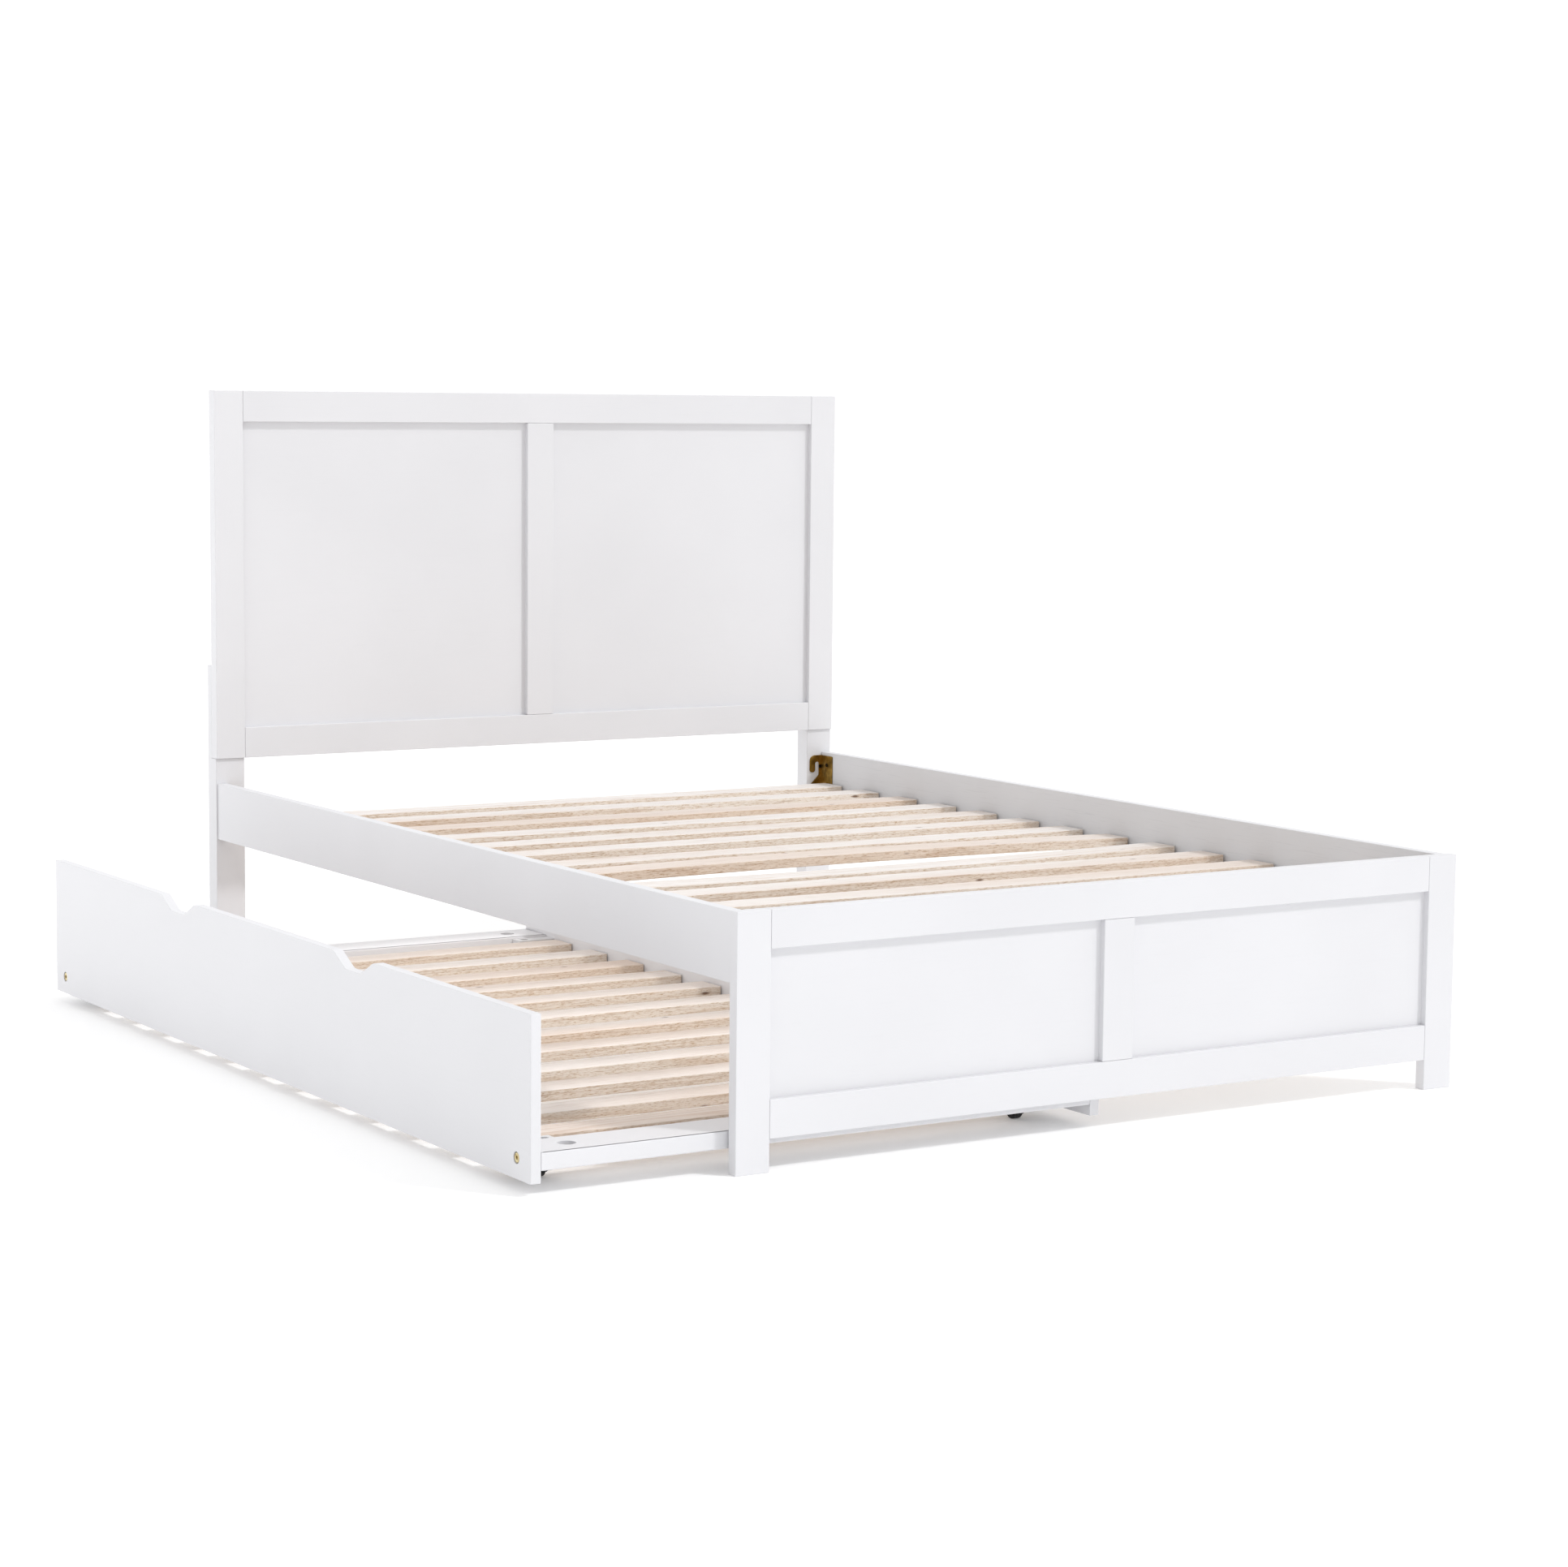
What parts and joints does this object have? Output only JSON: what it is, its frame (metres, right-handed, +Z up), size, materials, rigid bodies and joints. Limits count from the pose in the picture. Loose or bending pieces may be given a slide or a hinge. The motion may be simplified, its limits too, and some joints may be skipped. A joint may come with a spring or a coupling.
{
  "type": "trundle bed",
  "caption": "Full-size panel bed in white painted timber with pine slats and a low trundle on castors that rolls out from under its side.",
  "frame": {"origin": "floor level under the middle of the whole footprint, with the trundle pulled part of the way out", "axes": "+Z up, +Y towards the headboard, -X the side the trundle rolls out of"},
  "size_m": [1.763, 2.016, 1.168],
  "materials": {
    "white_enamel": "satin white enamel on timber",
    "pine": "planed, unfinished pine",
    "zinc_steel": "yellow-passivated zinc plating",
    "black_nylon": "moulded black nylon",
    "black_tread": "moulded black nylon wheel"
  },
  "bodies": {
    "bed": {"headboard_left_post": "white_enamel", "headboard_right_post": "white_enamel", "headboard_top_rail": "white_enamel", "headboard_lower_rail": "white_enamel", "headboard_mullion": "white_enamel", "headboard_left_panel": "white_enamel", "headboard_right_panel": "white_enamel", "footboard_left_post": "white_enamel", "footboard_right_post": "white_enamel", "footboard_top_rail": "white_enamel", "footboard_lower_rail": "white_enamel", "footboard_mullion": "white_enamel", "footboard_left_panel": "white_enamel", "footboard_right_panel": "white_enamel", "left_head_leg": "white_enamel", "right_head_leg": "white_enamel", "left_side_rail": "white_enamel", "right_side_rail": "white_enamel", "left_head_hook_plate": "zinc_steel", "left_foot_hook_plate": "zinc_steel", "right_head_hook_plate": "zinc_steel", "right_foot_hook_plate": "zinc_steel", "bed_slat_01": "pine", "bed_slat_02": "pine", "bed_slat_03": "pine", "bed_slat_04": "pine", "bed_slat_05": "pine", "bed_slat_06": "pine", "bed_slat_07": "pine", "bed_slat_08": "pine", "bed_slat_09": "pine", "bed_slat_10": "pine", "bed_slat_11": "pine", "bed_slat_12": "pine", "bed_slat_13": "pine"},
    "trundle": {"trundle_front_board": "white_enamel", "trundle_far_board": "white_enamel", "trundle_foot_plank": "white_enamel", "trundle_head_plank": "white_enamel", "trundle_slat_01": "pine", "trundle_slat_02": "pine", "trundle_slat_03": "pine", "trundle_slat_04": "pine", "trundle_slat_05": "pine", "trundle_slat_06": "pine", "trundle_slat_07": "pine", "trundle_slat_08": "pine", "trundle_slat_09": "pine", "trundle_slat_10": "pine", "trundle_slat_11": "pine", "trundle_slat_12": "pine"},
    "foot_front_castor": {"castor_foot_front_housing": "black_nylon"},
    "foot_front_wheel": {"castor_foot_front_wheel": "black_tread"},
    "foot_far_castor": {"castor_foot_far_housing": "black_nylon"},
    "foot_far_wheel": {"castor_foot_far_wheel": "black_tread"},
    "head_front_castor": {"castor_head_front_housing": "black_nylon"},
    "head_front_wheel": {"castor_head_front_wheel": "black_tread"},
    "head_far_castor": {"castor_head_far_housing": "black_nylon"},
    "head_far_wheel": {"castor_head_far_wheel": "black_tread"}
  },
  "joints": [
    {"name": "trundle_slide", "type": "slide", "parent": "bed", "child": "trundle", "axis": [-1, 0, 0], "range_m": [-0.336, 0.72]},
    {"name": "foot_front_castor_swivel", "type": "hinge", "parent": "trundle", "child": "foot_front_castor", "pos_m": [-0.804, -0.875, 0.036], "axis": [0, 0, 1], "continuous": true},
    {"name": "foot_front_wheel_roll", "type": "hinge", "parent": "foot_front_castor", "child": "foot_front_wheel", "pos_m": [-0.804, -0.857, 0.016], "axis": [1, 0, 0], "continuous": true},
    {"name": "foot_far_castor_swivel", "type": "hinge", "parent": "trundle", "child": "foot_far_castor", "pos_m": [0.073, -0.875, 0.036], "axis": [0, 0, 1], "continuous": true},
    {"name": "foot_far_wheel_roll", "type": "hinge", "parent": "foot_far_castor", "child": "foot_far_wheel", "pos_m": [0.073, -0.857, 0.016], "axis": [1, 0, 0], "continuous": true},
    {"name": "head_front_castor_swivel", "type": "hinge", "parent": "trundle", "child": "head_front_castor", "pos_m": [-0.804, 0.856, 0.036], "axis": [0, 0, 1], "continuous": true},
    {"name": "head_front_wheel_roll", "type": "hinge", "parent": "head_front_castor", "child": "head_front_wheel", "pos_m": [-0.804, 0.874, 0.016], "axis": [1, 0, 0], "continuous": true},
    {"name": "head_far_castor_swivel", "type": "hinge", "parent": "trundle", "child": "head_far_castor", "pos_m": [0.073, 0.856, 0.036], "axis": [0, 0, 1], "continuous": true},
    {"name": "head_far_wheel_roll", "type": "hinge", "parent": "head_far_castor", "child": "head_far_wheel", "pos_m": [0.073, 0.874, 0.016], "axis": [1, 0, 0], "continuous": true}
  ]
}
